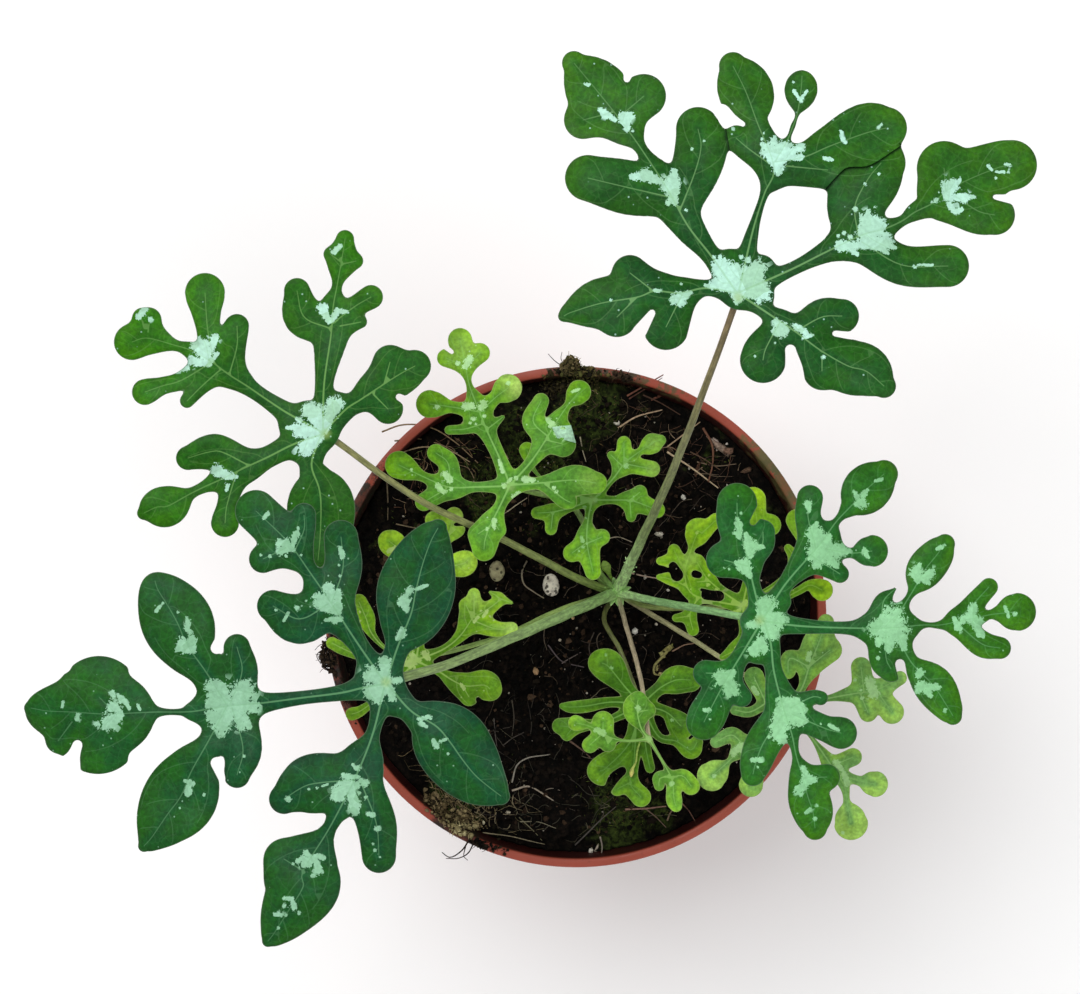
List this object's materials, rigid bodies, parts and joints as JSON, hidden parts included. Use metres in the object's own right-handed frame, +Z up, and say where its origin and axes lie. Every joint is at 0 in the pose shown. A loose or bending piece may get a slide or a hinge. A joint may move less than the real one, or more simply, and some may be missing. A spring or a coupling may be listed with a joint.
{
  "type": "potted silver-blotched lobed-leaf plant",
  "caption": "Potted foliage plant with deeply cut, silver-blotched leaves on long arching petioles in a round red nursery pot.",
  "frame": {"origin": "middle of the pot's base, on the surface it stands on", "axes": "+Z up, +X to the right and +Y to the top of the picture, which looks straight down"},
  "size_m": [0.2128, 0.1835, 0.2008],
  "materials": {
    "pot": "satin terracotta-red plastic",
    "soil": "crumbly dark soil",
    "petiole": "satin green to tan",
    "leaf": "satin deep green with silver blotches",
    "young_leaf": "satin yellow-green"
  },
  "bodies": {
    "root": {"pot": "pot", "soil": "soil", "stem_and_petioles": "petiole", "leaf_lower_left": "leaf", "leaf_upper_left": "leaf", "leaf_upper_right": "leaf", "leaf_right": "leaf", "leaf_centre_top": "young_leaf", "leaf_centre": "young_leaf", "leaf_right_under": "young_leaf", "leaf_lower_right_under": "young_leaf", "leaf_lower_centre": "young_leaf", "leaf_left_under": "young_leaf", "leaf_young": "young_leaf"}
  },
  "joints": []
}
